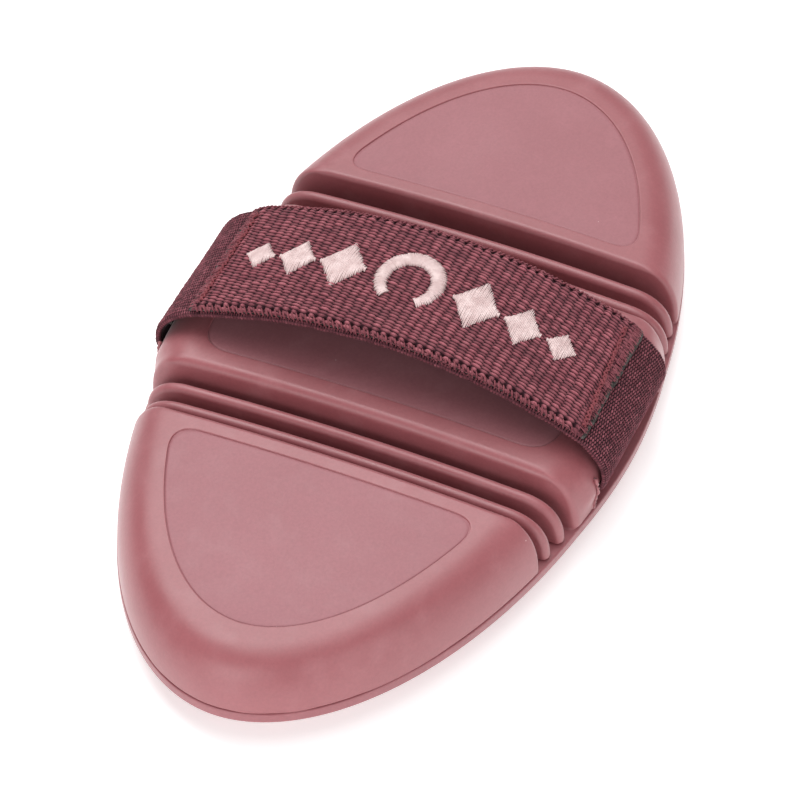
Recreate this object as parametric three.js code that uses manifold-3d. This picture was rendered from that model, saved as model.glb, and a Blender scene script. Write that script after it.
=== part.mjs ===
// Flexible rubber curry comb: three rubber pads joined by two concertina flex zones, a toothed sole
// underneath and a woven hand strap over the middle pad.
// Units are millimetres. +Z is up, X is the long axis, z = 0 is the plane of the tooth tips.
import * as THREE from 'three';
import { mergeVertices } from 'three/addons/utils/BufferGeometryUtils.js';
import Module from 'manifold-3d';

const wasm = await Module();
wasm.setup();

// ---------------------------------------------------------------- driving dimensions
const HALF_LENGTH = 97.5;
const HALF_WIDTH = 50.4;
const OVAL_POWER = 1.95; // a touch more pointed than an ellipse

const TOOTH_HEIGHT = 6.0;
const TOOTH_ROOT_R = 2.2;
const TOOTH_TIP_R = 1.25;
const TOOTH_SIDES = 8;
const TOOTH_PITCH_Y = 9.0;
const TOOTH_EDGE_MARGIN = 7.0; // bare border between the tooth field and the rim

const SOLE_THICKNESS = 2.6;
const SOLE_BOTTOM = TOOTH_HEIGHT;
const SOLE_TOP = SOLE_BOTTOM + SOLE_THICKNESS;
const BOND_GAP = 0.3; // between the moulded top and the sole it is bonded to
const BODY_BOTTOM = SOLE_TOP + BOND_GAP;
const BODY_INSET = 0.15;

const PAD_TOP = 24.1;
const CROWN_X = 0.00037; // fall of the top, per mm squared
const CROWN_Y = 0.00094;
const SHOULDER = 9.7; // how far the side leans in between rim and top
const SHOULDER_POWER = 2.5;

const ZONE_START = 25.4; // centre pad ends here, the first groove begins
const RIB_THICKNESS = 2.6;
const GROOVE = 2.6;
const PITCH = RIB_THICKNESS + GROOVE;
const ZONE_END = ZONE_START + 3 * GROOVE + 2 * RIB_THICKNESS;
const RIB_DROP = 3.3; // rib crests sit this far below the pads
const RIB_INSET = 0.6;
const RIB_DRAFT = 0.1;
const SOLE_CUT = 0.5; // slit through the sole under each groove

const CENTRE_EDGE_R = 2.0;
const END_EDGE_R = 1.3;
const EDGE_CORNER = 1.6;

const PANEL_A = 85.1; // oval that bounds the sunk panels
const PANEL_B = 40.2;
const PANEL_CENTRE_X = 20.0;
const PANEL_END_X = 42.3;
const PANEL_CORNER = 6.5;
const PANEL_DEPTH = 0.25;
const PANEL_STEP = 0.3;

const STRAP_WIDTH = 34;
const BAND_THICKNESS = 1.6;
const LAYER_GAP = 0.25;
const BACKING_THICKNESS = 0.35;
const WEBBING_THICKNESS = 1.2;
const WEBBING_LEFT = 43.5; // distance of the webbing ends from the middle, along the strap
const WEBBING_RIGHT = 46.5;
const BACKING_OVERHANG = 0.7;
const BACKING_WIDTH = 33.2;

// Outer face of the strap band from the crown to the tail, as [Y, Z above the sole's underside].
const BAND_PROFILE = [
  [0, 30.6],
  [8, 30.25],
  [16, 29.35],
  [24, 27.75],
  [31, 25.75],
  [37, 23.75],
  [42, 21.95],
  [45.5, 20.15],
  [48.2, 17.9],
  [50.3, 15.1],
  [51.3, 12.2],
  [51.3, 9.4],
  [50.3, 7.1],
  [48.4, 6.05],
  [46.0, 5.9],
  [41, 5.9],
  [35, 5.9],
];

const RECESS_HALF = 18.0; // side recess the strap drops into
const SWELL = 0.55;
const SWELL_HALF = 25;
const RECESS_Y = 46.2;
const RECESS_LEAN = 0.11;
const RECESS_TOP = 15.2;
const SLOT_HALF = 17.8;
const SLOT_Y = 33.8;
const SLOT_LOW = 5.5; // above the sole's underside
const SLOT_HIGH = 8.9;
const HOOK_THICKNESS = 0.8;

const EMBROIDERY_LIFT = 0.25;
const EMBROIDERY_HEIGHT = 0.7;

// ---------------------------------------------------------------- materials
function rubber(name, colour) {
  return new THREE.MeshStandardMaterial({ name, color: colour, roughness: 0.55, metalness: 0 });
}

function cloth(name, colour) {
  return new THREE.MeshStandardMaterial({ name, color: colour, roughness: 0.92, metalness: 0 });
}

const RUBBER = rubber('rubber_rose', 0xb06f74);
const SOLE_RUBBER = rubber('rubber_sole', 0xa9686e);
const BAND_CLOTH = cloth('band_weave', 0x5f2c36);
const WEBBING_CLOTH = cloth('webbing_weave', 0x6b2f3b);
const BACKING_CLOTH = cloth('backing_felt', 0x4b504c);
const HOOK_CLOTH = cloth('hook_tape', 0x25221f);
const SEAM_THREAD = cloth('seam_thread', 0x9a3f4a);
const EDGE_THREAD = cloth('edge_thread', 0x74323f);
const SATIN_THREAD = cloth('satin_thread', 0xefc3bf);

const object = new THREE.Group();
object.name = 'curry_comb';

function addNode(name, geometry, material) {
  const mesh = new THREE.Mesh(geometry, material);
  mesh.name = name;
  object.add(mesh);
  return mesh;
}

// ---------------------------------------------------------------- mesh helpers
function toGeometry(vertices, triangles) {
  const geometry = new THREE.BufferGeometry();
  geometry.setAttribute('position', new THREE.Float32BufferAttribute(vertices.flat(), 3));
  geometry.setIndex(triangles.flat());
  geometry.computeVertexNormals();
  return geometry;
}

// Closed solid from a stack of rings with equal point counts. Rings run counter-clockwise seen
// from the last ring's side, and each end is closed with a fan about its own middle point.
function ringSolid(rings, firstMiddle, lastMiddle) {
  const count = rings[0].length;
  const vertices = rings.flat();
  const triangles = [];
  for (let r = 0; r < rings.length - 1; r += 1) {
    for (let i = 0; i < count; i += 1) {
      const j = (i + 1) % count;
      const a = r * count + i;
      const b = r * count + j;
      const c = a + count;
      const d = b + count;
      triangles.push([a, b, d], [a, d, c]);
    }
  }
  const first = vertices.push(firstMiddle) - 1;
  const last = vertices.push(lastMiddle) - 1;
  const top = (rings.length - 1) * count;
  for (let i = 0; i < count; i += 1) {
    const j = (i + 1) % count;
    triangles.push([j, i, first], [top + i, top + j, last]);
  }
  return toGeometry(vertices, triangles);
}

function toManifold(geometry) {
  const bare = geometry.clone();
  bare.deleteAttribute('normal');
  bare.deleteAttribute('uv');
  const merged = mergeVertices(bare, 1e-4);
  return new wasm.Manifold(new wasm.Mesh({
    numProp: 3,
    vertProperties: new Float32Array(merged.attributes.position.array),
    triVerts: new Uint32Array(merged.index.array),
  }));
}

function fromManifold(solid) {
  const mesh = solid.getMesh();
  const geometry = new THREE.BufferGeometry();
  geometry.setAttribute('position', new THREE.BufferAttribute(new Float32Array(mesh.vertProperties), 3));
  geometry.setIndex(new THREE.BufferAttribute(new Uint32Array(mesh.triVerts), 1));
  geometry.computeVertexNormals();
  return geometry;
}

function mean(points) {
  const total = points.reduce((sum, p) => [sum[0] + p[0], sum[1] + p[1], sum[2] + p[2]], [0, 0, 0]);
  return total.map((value) => value / points.length);
}

// ---------------------------------------------------------------- shape of the moulding
function ovalHalfWidth(x, a, b) {
  const ratio = Math.min(Math.abs(x) / a, 1);
  return b * (1 - ratio ** OVAL_POWER) ** (1 / OVAL_POWER);
}

// The sole's rim stands out a little under the feet of the strap.
function footSwell(x) {
  return Math.abs(x) < SWELL_HALF ? SWELL * Math.cos((Math.PI * x) / (2 * SWELL_HALF)) : 0;
}

function crownHeight(x, y) {
  return PAD_TOP - CROWN_X * x * x - CROWN_Y * y * y;
}

function shoulderInset(rise) {
  return SHOULDER * (1 - (1 - rise ** SHOULDER_POWER) ** (1 / SHOULDER_POWER));
}

function roundedEdge(depth, radius) {
  if (depth >= radius) {
    return 0;
  }
  return radius - Math.sqrt(radius * radius - (radius - depth) ** 2);
}

const CORNER_STEPS = 3;

// Quadratic corner from one outline point to the next about the sharp corner between them.
function cornerPoints(from, corner, to) {
  const points = [];
  for (let k = 1; k < CORNER_STEPS; k += 1) {
    const t = k / CORNER_STEPS;
    const u = 1 - t;
    points.push([0, 1].map((i) => u * u * from[i] + 2 * u * t * corner[i] + t * t * to[i]));
  }
  return points;
}

// Plan outline between x = x0 and x = x1 of an oval a by b, counter-clockwise. When x1 is beyond
// the oval the outline closes round the tip. Corners at the straight edges are eased by `ease`.
function planOutline(x0, x1, a, b, ease, arcSteps, chordSteps) {
  const tip = x1 >= a;
  const upper = [];
  const arcStart = x0 + ease;
  const arcEnd = tip ? a : x1 - ease;
  const angle = (x) => Math.acos(Math.sign(x) * Math.min(Math.abs(x) / a, 1) ** (OVAL_POWER / 2));
  const t0 = angle(arcStart);
  const t1 = tip ? 0 : angle(arcEnd);
  for (let k = 0; k <= arcSteps; k += 1) {
    const t = t1 + ((t0 - t1) * k) / arcSteps;
    const c = Math.cos(t);
    const x = a * Math.sign(c) * Math.abs(c) ** (2 / OVAL_POWER);
    upper.push([x, ovalHalfWidth(x, a, b)]);
  }
  const lower = upper.map(([x, y]) => [x, -y]).reverse();
  const chord = (x) => {
    const reach = ovalHalfWidth(x, a, b) - ease;
    const points = [];
    for (let k = 0; k <= chordSteps; k += 1) {
      points.push([x, reach * (1 - (2 * k) / chordSteps)]);
    }
    return points;
  };
  const left = chord(x0);
  const sharp = (x, sign) => [x, sign * ovalHalfWidth(x, a, b)];
  const loop = [...upper];
  loop.push(...cornerPoints(upper[upper.length - 1], sharp(x0, 1), left[0]));
  loop.push(...left);
  loop.push(...cornerPoints(left[left.length - 1], sharp(x0, -1), lower[0]));
  if (tip) {
    loop.push(...lower.slice(0, -1));
    return loop;
  }
  const right = chord(x1).reverse();
  loop.push(...lower);
  loop.push(...cornerPoints(lower[lower.length - 1], sharp(x1, -1), right[0]));
  loop.push(...right);
  loop.push(...cornerPoints(right[right.length - 1], sharp(x1, 1), upper[0]));
  return loop;
}

// One pad between x0 and x1: upright foot, leaning shoulders, rounded straight edges, crowned top
// and a shallow sunk panel.
function padGeometry(x0, x1, panelX0, panelX1, edgeRadius, arcSteps, chordSteps) {
  const fullHeight = PAD_TOP - SOLE_TOP;
  const depths = [fullHeight - BOND_GAP, 12.5, 9.5, 6.8, 4.4, 2.6, 1.3, 0.55, 0.15, 0];
  const tip = x1 > HALF_LENGTH;
  const rings = depths.map((depth) => {
    const rise = 1 - depth / fullHeight;
    const inset = BODY_INSET + shoulderInset(rise);
    const edge = roundedEdge(depth, edgeRadius);
    const a = HALF_LENGTH - inset;
    const b = HALF_WIDTH - inset;
    const end = tip ? a : x1 - edge;
    const loop = planOutline(x0 + edge, end, a, b, EDGE_CORNER, arcSteps, chordSteps);
    return loop.map(([x, y]) => {
      const foot = depth === depths[0];
      const z = SOLE_TOP + (crownHeight(x, y) - SOLE_TOP) * rise;
      return [x, y, foot ? BODY_BOTTOM : z];
    });
  });
  const panel = (grow, drop) => {
    const a = PANEL_A + grow;
    const b = PANEL_B + grow;
    const end = tip ? a : panelX1 + grow;
    const loop = planOutline(panelX0 - grow, end, a, b, PANEL_CORNER, arcSteps, chordSteps);
    return loop.map(([x, y]) => [x, y, crownHeight(x, y) - drop]);
  };
  rings.push(panel(0, 0));
  const floor = panel(-PANEL_STEP, PANEL_DEPTH);
  rings.push(floor);
  const middle = mean(floor);
  [0.66, 0.33].forEach((scale) => {
    rings.push(floor.map(([x, y]) => {
      const px = middle[0] + (x - middle[0]) * scale;
      const py = middle[1] + (y - middle[1]) * scale;
      return [px, py, crownHeight(px, py) - PANEL_DEPTH];
    }));
  });
  const top = [middle[0], middle[1], crownHeight(middle[0], middle[1]) - PANEL_DEPTH];
  return ringSolid(rings, [middle[0], middle[1], BODY_BOTTOM], top);
}

// Upright rib across the body at x = middleX, with a fully rounded crest and a slight draft.
function ribGeometry(middleX) {
  const half = RIB_THICKNESS / 2;
  const offsets = [-1, -0.88, -0.55, 0, 0.55, 0.88, 1];
  const archSteps = 9;
  const rings = offsets.map((offset) => {
    const x = middleX + offset * half;
    const inset = half * (1 - Math.sqrt(1 - offset * offset));
    const reach = ovalHalfWidth(middleX, HALF_LENGTH, HALF_WIDTH) - BODY_INSET - RIB_INSET - inset;
    const side = [];
    for (let k = 0; k <= archSteps; k += 1) {
      const turn = (k / archSteps) * (Math.PI / 2);
      const rise = Math.sin(turn) ** (2 / SHOULDER_POWER);
      const lean = 1 - Math.cos(turn) ** (2 / SHOULDER_POWER);
      const y = reach - (SHOULDER - inset) * lean;
      const crest = crownHeight(middleX, y) - RIB_DROP - inset;
      const z = Math.max(BODY_BOTTOM, SOLE_TOP + (crest - SOLE_TOP) * rise);
      const draft = 1 + RIB_DRAFT * (1 - rise);
      side.push([middleX + (x - middleX) * draft, y, z]);
    }
    const flat = [];
    const edge = side[side.length - 1];
    const spanSteps = 8;
    for (let k = 1; k < spanSteps; k += 1) {
      const y = edge[1] * (1 - (2 * k) / spanSteps);
      flat.push([x, y, crownHeight(middleX, y) - RIB_DROP - inset]);
    }
    const mirrored = side.map(([px, py, pz]) => [px, -py, pz]).reverse();
    return [...side, ...flat, ...mirrored];
  });
  const first = rings[0];
  const last = rings[rings.length - 1];
  const middleZ = (BODY_BOTTOM + PAD_TOP) / 2;
  return ringSolid(rings, [first[20][0], 0, middleZ], [last[20][0], 0, middleZ]);
}

// One segment of the sole between x0 and x1 with its edges slightly broken.
function solePlate(x0, x1, arcSteps, chordSteps) {
  const levels = [
    [SOLE_BOTTOM, 0.45],
    [SOLE_BOTTOM + 0.45, 0],
    [SOLE_TOP - 0.3, 0],
    [SOLE_TOP, 0.25],
  ];
  const tip = x1 > HALF_LENGTH;
  const rings = levels.map(([z, inset]) => {
    const a = HALF_LENGTH - inset;
    const end = tip ? a : x1;
    const loop = planOutline(x0, end, a, HALF_WIDTH - inset, 0.4, arcSteps, chordSteps);
    return loop.map(([x, y]) => [x, y + Math.sign(y) * footSwell(x), z]);
  });
  const middle = mean(rings[0]);
  return ringSolid(rings, [middle[0], middle[1], SOLE_BOTTOM], [middle[0], middle[1], SOLE_TOP]);
}

function toothAt(x, y) {
  const ring = (radius, z) => {
    const points = [];
    for (let k = 0; k < TOOTH_SIDES; k += 1) {
      const turn = ((k + 0.5) * 2 * Math.PI) / TOOTH_SIDES;
      points.push([x + radius * Math.cos(turn), y + radius * Math.sin(turn), z]);
    }
    return points;
  };
  const buried = SOLE_BOTTOM + 0.5;
  return ringSolid([ring(TOOTH_TIP_R, 0), ring(TOOTH_ROOT_R, buried)], [x, y, 0], [x, y, buried]);
}

// Staggered rows of teeth that keep clear of the rim.
function toothRow(x, staggered) {
  const reach = ovalHalfWidth(x, HALF_LENGTH - TOOTH_EDGE_MARGIN, HALF_WIDTH - TOOTH_EDGE_MARGIN);
  const shift = staggered ? TOOTH_PITCH_Y / 2 : 0;
  const places = [];
  for (let k = -6; k <= 6; k += 1) {
    const y = k * TOOTH_PITCH_Y + shift;
    if (Math.abs(y) <= reach) {
      places.push([x, y]);
    }
  }
  return places;
}

function soleGeometry(x0, x1, rows, arcSteps, chordSteps) {
  let solid = toManifold(solePlate(x0, x1, arcSteps, chordSteps));
  rows.forEach(([x, staggered]) => {
    toothRow(x, staggered).forEach(([tx, ty]) => {
      solid = solid.add(toManifold(toothAt(tx, ty)));
    });
  });
  return fromManifold(solid);
}

// Mirror image about x = 0, with the facing kept outwards.
function mirrorX(geometry) {
  const copy = geometry.clone();
  const position = copy.attributes.position;
  for (let i = 0; i < position.count; i += 1) {
    position.setX(i, -position.getX(i));
  }
  const index = copy.index.array;
  for (let i = 0; i < index.length; i += 3) {
    const keep = index[i];
    index[i] = index[i + 1];
    index[i + 1] = keep;
  }
  copy.computeVertexNormals();
  return copy;
}

// Extrusion along X of a closed Y-Z outline given counter-clockwise when seen from +X.
function prismX(outline, x0, x1) {
  const ring = (x) => outline.map(([y, z]) => [x, y, z]);
  const near = ring(x0);
  const far = ring(x1);
  return ringSolid([near, far], mean(near), mean(far));
}

// ---------------------------------------------------------------- rubber body
// Side recess and tail slot on the +Y side; the other side is its mirror image.
function strapCut(side) {
  const low = BODY_BOTTOM - 1;
  const high = RECESS_TOP;
  const lean = (high - low) * RECESS_LEAN;
  const recess = [
    [RECESS_Y, low],
    [HALF_WIDTH + 2, low],
    [HALF_WIDTH + 2, high],
    [RECESS_Y + lean, high],
  ];
  const slot = [
    [SLOT_Y, SOLE_BOTTOM + SLOT_LOW],
    [RECESS_Y + 1.5, SOLE_BOTTOM + SLOT_LOW],
    [RECESS_Y + 1.5, SOLE_BOTTOM + SLOT_HIGH],
    [SLOT_Y, SOLE_BOTTOM + SLOT_HIGH],
  ];
  const turn = (outline) => (side > 0 ? outline : outline.map(([y, z]) => [-y, z]).reverse());
  const wide = toManifold(prismX(turn(recess), -RECESS_HALF, RECESS_HALF));
  return wide.add(toManifold(prismX(turn(slot), -SLOT_HALF, SLOT_HALF)));
}

const centrePad = padGeometry(
  -ZONE_START, ZONE_START, -PANEL_CENTRE_X, PANEL_CENTRE_X, CENTRE_EDGE_R, 12, 10,
);
let centreSolid = toManifold(centrePad);
[1, -1].forEach((side) => {
  centreSolid = centreSolid.subtract(strapCut(side));
});
addNode('pad_centre', fromManifold(centreSolid), RUBBER);

const endPad = padGeometry(ZONE_END, HALF_LENGTH + 1, PANEL_END_X, 0, END_EDGE_R, 14, 10);
addNode('pad_rear', endPad, RUBBER);
addNode('pad_front', mirrorX(endPad), RUBBER);

const RIB_MIDDLES = [1, 2].map((k) => ZONE_START + k * PITCH - RIB_THICKNESS / 2);
const HINGES = [0, 1, 2].map((k) => ZONE_START + GROOVE / 2 + k * PITCH);
['inner', 'outer'].forEach((place, k) => {
  const rib = ribGeometry(RIB_MIDDLES[k]);
  addNode(`rib_rear_${place}`, rib, RUBBER);
  addNode(`rib_front_${place}`, mirrorX(rib), RUBBER);
});

// ---------------------------------------------------------------- toothed sole
const CENTRE_ROWS = [-3, -2, -1, 0, 1, 2, 3].map((k) => [k * 7.6, k % 2 !== 0]);
const centreEdge = HINGES[0] - SOLE_CUT / 2;
addNode('sole_centre', soleGeometry(-centreEdge, centreEdge, CENTRE_ROWS, 8, 8), SOLE_RUBBER);

['inner', 'outer'].forEach((place, k) => {
  const x0 = HINGES[k] + SOLE_CUT / 2;
  const x1 = HINGES[k + 1] - SOLE_CUT / 2;
  const strip = soleGeometry(x0, x1, [[(x0 + x1) / 2, k === 1]], 2, 8);
  addNode(`sole_rear_${place}`, strip, SOLE_RUBBER);
  addNode(`sole_front_${place}`, mirrorX(strip), SOLE_RUBBER);
});

const END_ROWS = [0, 1, 2, 3, 4, 5, 6].map((k) => [41.6 + k * 7.6, k % 2 !== 0]);
const endSole = soleGeometry(HINGES[2] + SOLE_CUT / 2, HALF_LENGTH + 1, END_ROWS, 14, 8);
addNode('sole_rear_end', endSole, SOLE_RUBBER);
addNode('sole_front_end', mirrorX(endSole), SOLE_RUBBER);

// ---------------------------------------------------------------- strap
// Smooth outer line of the band over both sides, from the -Y tail to the +Y tail.
const bandCurve = new THREE.CatmullRomCurve3(
  [
    ...BAND_PROFILE.slice(1).reverse().map(([y, z]) => new THREE.Vector3(0, -y, z + SOLE_BOTTOM)),
    ...BAND_PROFILE.map(([y, z]) => new THREE.Vector3(0, y, z + SOLE_BOTTOM)),
  ],
  false,
  'centripetal',
);
const CURVE_STEPS = 160;
const curvePoints = bandCurve.getSpacedPoints(CURVE_STEPS);
const curveLength = bandCurve.getLength();

// Point on the strap: `s` along it from the crown towards +Y, `lift` out from the band's outer face.
function strapPoint(s, lift, x) {
  const t = Math.min(Math.max((s / curveLength + 0.5) * CURVE_STEPS, 0), CURVE_STEPS - 1e-6);
  const k = Math.floor(t);
  const along = t - k;
  const at = (i) => curvePoints[Math.min(Math.max(i, 0), CURVE_STEPS)];
  const direction = (i) => at(i + 1).clone().sub(at(i - 1)).normalize();
  const point = at(k).clone().lerp(at(k + 1), along);
  const tangent = direction(k).lerp(direction(k + 1), along).normalize();
  return [x, point.y - tangent.z * lift, point.z + tangent.y * lift];
}

function steps(from, to, count) {
  const values = [];
  for (let k = 0; k <= count; k += 1) {
    values.push(from + ((to - from) * k) / count);
  }
  return values;
}

// Flat layer of the strap between two distances along it.
function strapLayer(s0, s1, low, high, width, count) {
  const half = width / 2;
  const rings = steps(s0, s1, count).map((s) => [
    strapPoint(s, low, -half),
    strapPoint(s, high, -half),
    strapPoint(s, high, half),
    strapPoint(s, low, half),
  ]);
  return ringSolid(rings, mean(rings[0]), mean(rings[rings.length - 1]));
}

const BAND_STEPS = 68;
const half = curveLength / 2;
addNode('strap_band', strapLayer(-half, half, -BAND_THICKNESS, 0, STRAP_WIDTH, BAND_STEPS), BAND_CLOTH);

const backingLow = LAYER_GAP;
const backingHigh = backingLow + BACKING_THICKNESS;
const webbingLow = backingHigh + LAYER_GAP;
const webbingHigh = webbingLow + WEBBING_THICKNESS;
const backing = strapLayer(
  -WEBBING_RIGHT - BACKING_OVERHANG,
  WEBBING_LEFT + BACKING_OVERHANG,
  backingLow,
  backingHigh,
  BACKING_WIDTH,
  34,
);
addNode('strap_backing', backing, BACKING_CLOTH);
const webbing = strapLayer(-WEBBING_RIGHT, WEBBING_LEFT, webbingLow, webbingHigh, STRAP_WIDTH, 34);
addNode('strap_webbing', webbing, WEBBING_CLOTH);

// Raised line of thread through a list of { s, x, width } places on the webbing.
function threadSolid(path, low, high) {
  const rings = path.map((place, k) => {
    const before = path[Math.max(k - 1, 0)];
    const after = path[Math.min(k + 1, path.length - 1)];
    const ds = after.s - before.s;
    const dx = after.x - before.x;
    const size = Math.hypot(ds, dx);
    const sideS = (-dx / size) * (place.width / 2);
    const sideX = (ds / size) * (place.width / 2);
    const at = (side, lift) => strapPoint(place.s + side * sideS, lift, place.x + side * sideX);
    return [at(-1, low), at(-0.5, high), at(0.5, high), at(1, low)];
  });
  return ringSolid(rings, mean(rings[0]), mean(rings[rings.length - 1]));
}

const threadLow = webbingHigh + 0.15;
const threadHigh = threadLow + 0.45;
const ZIGZAG_PITCH = 2.6;

function zigzag(from, to, across, swing, alongStrap) {
  const count = Math.round((to - from) / (ZIGZAG_PITCH / 2));
  return steps(from, to, count).map((value, k) => {
    const offset = across + (k % 2 === 0 ? -swing : swing);
    return alongStrap ? { s: value, x: offset, width: 0.7 } : { s: offset, x: value, width: 0.7 };
  });
}

const EDGE_LINE = STRAP_WIDTH / 2 - 1.4;
const SEAM_REACH = EDGE_LINE - 1.6;
const edgeFrom = -WEBBING_RIGHT + 0.8;
const edgeTo = WEBBING_LEFT - 0.8;
[['rear', 1], ['front', -1]].forEach(([place, side]) => {
  const path = zigzag(edgeFrom, edgeTo, side * EDGE_LINE, 0.55, true);
  addNode(`edge_stitch_${place}`, threadSolid(path, threadLow, threadHigh), EDGE_THREAD);
});
[['left', WEBBING_LEFT - 3.5], ['right', -WEBBING_RIGHT + 3.5]].forEach(([place, s]) => {
  const path = zigzag(-SEAM_REACH, SEAM_REACH, s, 0.5, false);
  addNode(`seam_stitch_${place}`, threadSolid(path, threadLow, threadHigh), SEAM_THREAD);
});

// Satin-stitch ornament along the webbing: a horseshoe between graded lozenges.
const satinLow = webbingHigh + EMBROIDERY_LIFT;
const satinHigh = satinLow + EMBROIDERY_HEIGHT;
const SHOE_RADIUS = 5.9;
const SHOE_WIDTH = 3.6;

const shoePath = steps(-0.8 * Math.PI, 0.8 * Math.PI, 22).map((turn) => ({
  s: SHOE_RADIUS * Math.sin(turn),
  x: SHOE_RADIUS * 1.12 * Math.cos(turn),
  width: SHOE_WIDTH * (0.82 + 0.18 * Math.cos(turn)),
}));
addNode('embroidery_horseshoe', threadSolid(shoePath, satinLow, satinHigh), SATIN_THREAD);

const LOZENGES = [
  ['inner', 14.8, 10.0, 14.0],
  ['middle', 25.2, 8.0, 11.0],
  ['outer', 34.0, 6.5, 8.0],
];
LOZENGES.forEach(([place, distance, length, width]) => {
  [['left', 1], ['right', -1]].forEach(([hand, side]) => {
    const path = steps(-1, 1, 8).map((t) => ({
      s: side * distance - t * (length / 2),
      x: 0,
      width: width * Math.max(1 - Math.abs(t), 0.06),
    })).reverse();
    addNode(`embroidery_${hand}_${place}`, threadSolid(path, satinLow, satinHigh), SATIN_THREAD);
  });
});

// Hook tape bonded to the roof of each tail slot, facing the pile of the tucked-in band.
const hookTop = SOLE_BOTTOM + SLOT_HIGH - BOND_GAP;
[['left', 1], ['right', -1]].forEach(([hand, side]) => {
  const y0 = SLOT_Y + 0.7;
  const y1 = RECESS_Y - 1.4;
  const outline = [
    [y0, hookTop - HOOK_THICKNESS],
    [y1, hookTop - HOOK_THICKNESS],
    [y1, hookTop],
    [y0, hookTop],
  ];
  const turned = side > 0 ? outline : outline.map(([y, z]) => [-y, z]).reverse();
  addNode(`hook_tape_${hand}`, prismX(turned, -SLOT_HALF + 0.8, SLOT_HALF - 0.8), HOOK_CLOTH);
});

export default object;
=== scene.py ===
"""Looks for a flexible rubber curry comb: moulded rubber pads, ribs and toothed sole, and a woven strap."""
import math
import random

import bpy
import numpy as np
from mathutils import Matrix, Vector


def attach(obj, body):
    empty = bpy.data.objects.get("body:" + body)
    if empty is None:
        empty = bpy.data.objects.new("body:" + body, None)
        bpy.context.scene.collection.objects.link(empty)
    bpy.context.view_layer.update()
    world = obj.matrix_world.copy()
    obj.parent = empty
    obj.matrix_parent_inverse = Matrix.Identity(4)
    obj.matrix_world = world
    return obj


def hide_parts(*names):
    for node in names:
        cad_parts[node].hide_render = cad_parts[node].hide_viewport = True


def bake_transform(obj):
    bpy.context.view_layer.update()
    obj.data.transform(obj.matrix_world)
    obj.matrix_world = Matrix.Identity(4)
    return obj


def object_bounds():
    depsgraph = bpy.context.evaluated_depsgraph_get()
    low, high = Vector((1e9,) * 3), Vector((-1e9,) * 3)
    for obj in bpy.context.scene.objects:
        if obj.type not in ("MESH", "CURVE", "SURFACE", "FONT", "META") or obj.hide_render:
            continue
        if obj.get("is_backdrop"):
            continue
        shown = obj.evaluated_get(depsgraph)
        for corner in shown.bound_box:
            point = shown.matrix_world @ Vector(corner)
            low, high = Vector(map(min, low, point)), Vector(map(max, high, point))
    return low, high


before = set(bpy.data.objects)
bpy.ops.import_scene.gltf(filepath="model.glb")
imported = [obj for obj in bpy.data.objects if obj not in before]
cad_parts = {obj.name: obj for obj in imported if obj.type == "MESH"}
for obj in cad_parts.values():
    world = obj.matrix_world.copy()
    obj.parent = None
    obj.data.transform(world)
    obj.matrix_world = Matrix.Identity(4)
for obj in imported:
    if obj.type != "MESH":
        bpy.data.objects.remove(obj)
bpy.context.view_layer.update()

MM = 0.001

# --- objects in the scene
def add_object(name, data):
    thing = bpy.data.objects.new(name, data)
    bpy.context.scene.collection.objects.link(thing)
    return thing


def add_aimed(name, data, place, direction):
    """Camera or light at a place, looking along a direction."""
    thing = add_object(name, data)
    thing.location = place
    thing.rotation_mode = "QUATERNION"
    thing.rotation_quaternion = direction.to_track_quat("-Z", "Y")
    return thing


# --- camera
CAMERA_AZIMUTH = math.radians(-66.446)
CAMERA_ELEVATION = math.radians(46.133)
CAMERA_DISTANCE = 0.9185
CAMERA_TARGET = Vector((0, 0, 0.006))
CAMERA_LENS = 194.94
CAMERA_SHIFT = (-0.0119, -0.0127)


def add_camera():
    back = Vector((
        math.sin(CAMERA_AZIMUTH) * math.cos(CAMERA_ELEVATION),
        -math.cos(CAMERA_AZIMUTH) * math.cos(CAMERA_ELEVATION),
        math.sin(CAMERA_ELEVATION),
    ))
    data = bpy.data.cameras.new("camera")
    data.lens = CAMERA_LENS
    data.sensor_width = 36
    data.shift_x, data.shift_y = CAMERA_SHIFT
    data.clip_start, data.clip_end = 0.05, 20
    place = CAMERA_TARGET + back * CAMERA_DISTANCE
    bpy.context.scene.camera = add_aimed("camera", data, place, -back)


add_camera()

# --- dimensions of the moulding, mm
HALF_LENGTH = 97.5
HALF_WIDTH = 50.4
OVAL_POWER = 1.95
SOLE_BOTTOM = 6.0
SOLE_TOP = 8.6
SEAT = 8.62  # where pads and ribs stand on the sole
BODY_INSET = 0.15
PAD_TOP = 24.1
CROWN_X = 0.00037
CROWN_Y = 0.00094
SHOULDER = 9.7
SHOULDER_POWER = 2.5
ZONE_START = 25.4
RIB_THICKNESS = 2.6
GROOVE = 2.6
PITCH = RIB_THICKNESS + GROOVE
ZONE_END = ZONE_START + 3 * GROOVE + 2 * RIB_THICKNESS
RIB_DROP = 3.3
RIB_INSET = 0.6
RIB_DRAFT = 0.1
CENTRE_EDGE_R = 2.0
END_EDGE_R = 1.3
EDGE_CORNER = 1.6
PANEL_A = 85.1
PANEL_B = 40.2
PANEL_CENTRE_X = 20.0
PANEL_END_X = 42.3
PANEL_CORNER = 6.5
PANEL_DEPTH = 0.25
HINGES = [ZONE_START + GROOVE / 2 + k * PITCH for k in range(3)]
RIB_MIDDLES = [ZONE_START + k * PITCH - RIB_THICKNESS / 2 for k in (1, 2)]
WEB_HALF = 0.4  # the sole bends within this distance of a hinge line
RECESS_HALF = 18.0
SWELL = 0.55  # the sole's rim stands out by this under the feet of the strap
SWELL_HALF = 25.0
RECESS_Y = 46.2
RECESS_LEAN = 0.11
RECESS_TOP = 15.2
RECESS_FOOT = 7.9  # height at which the recess wall stands at RECESS_Y
BULGE = 1.1  # the centre pad's sides swell out by this on either side of the strap
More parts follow.
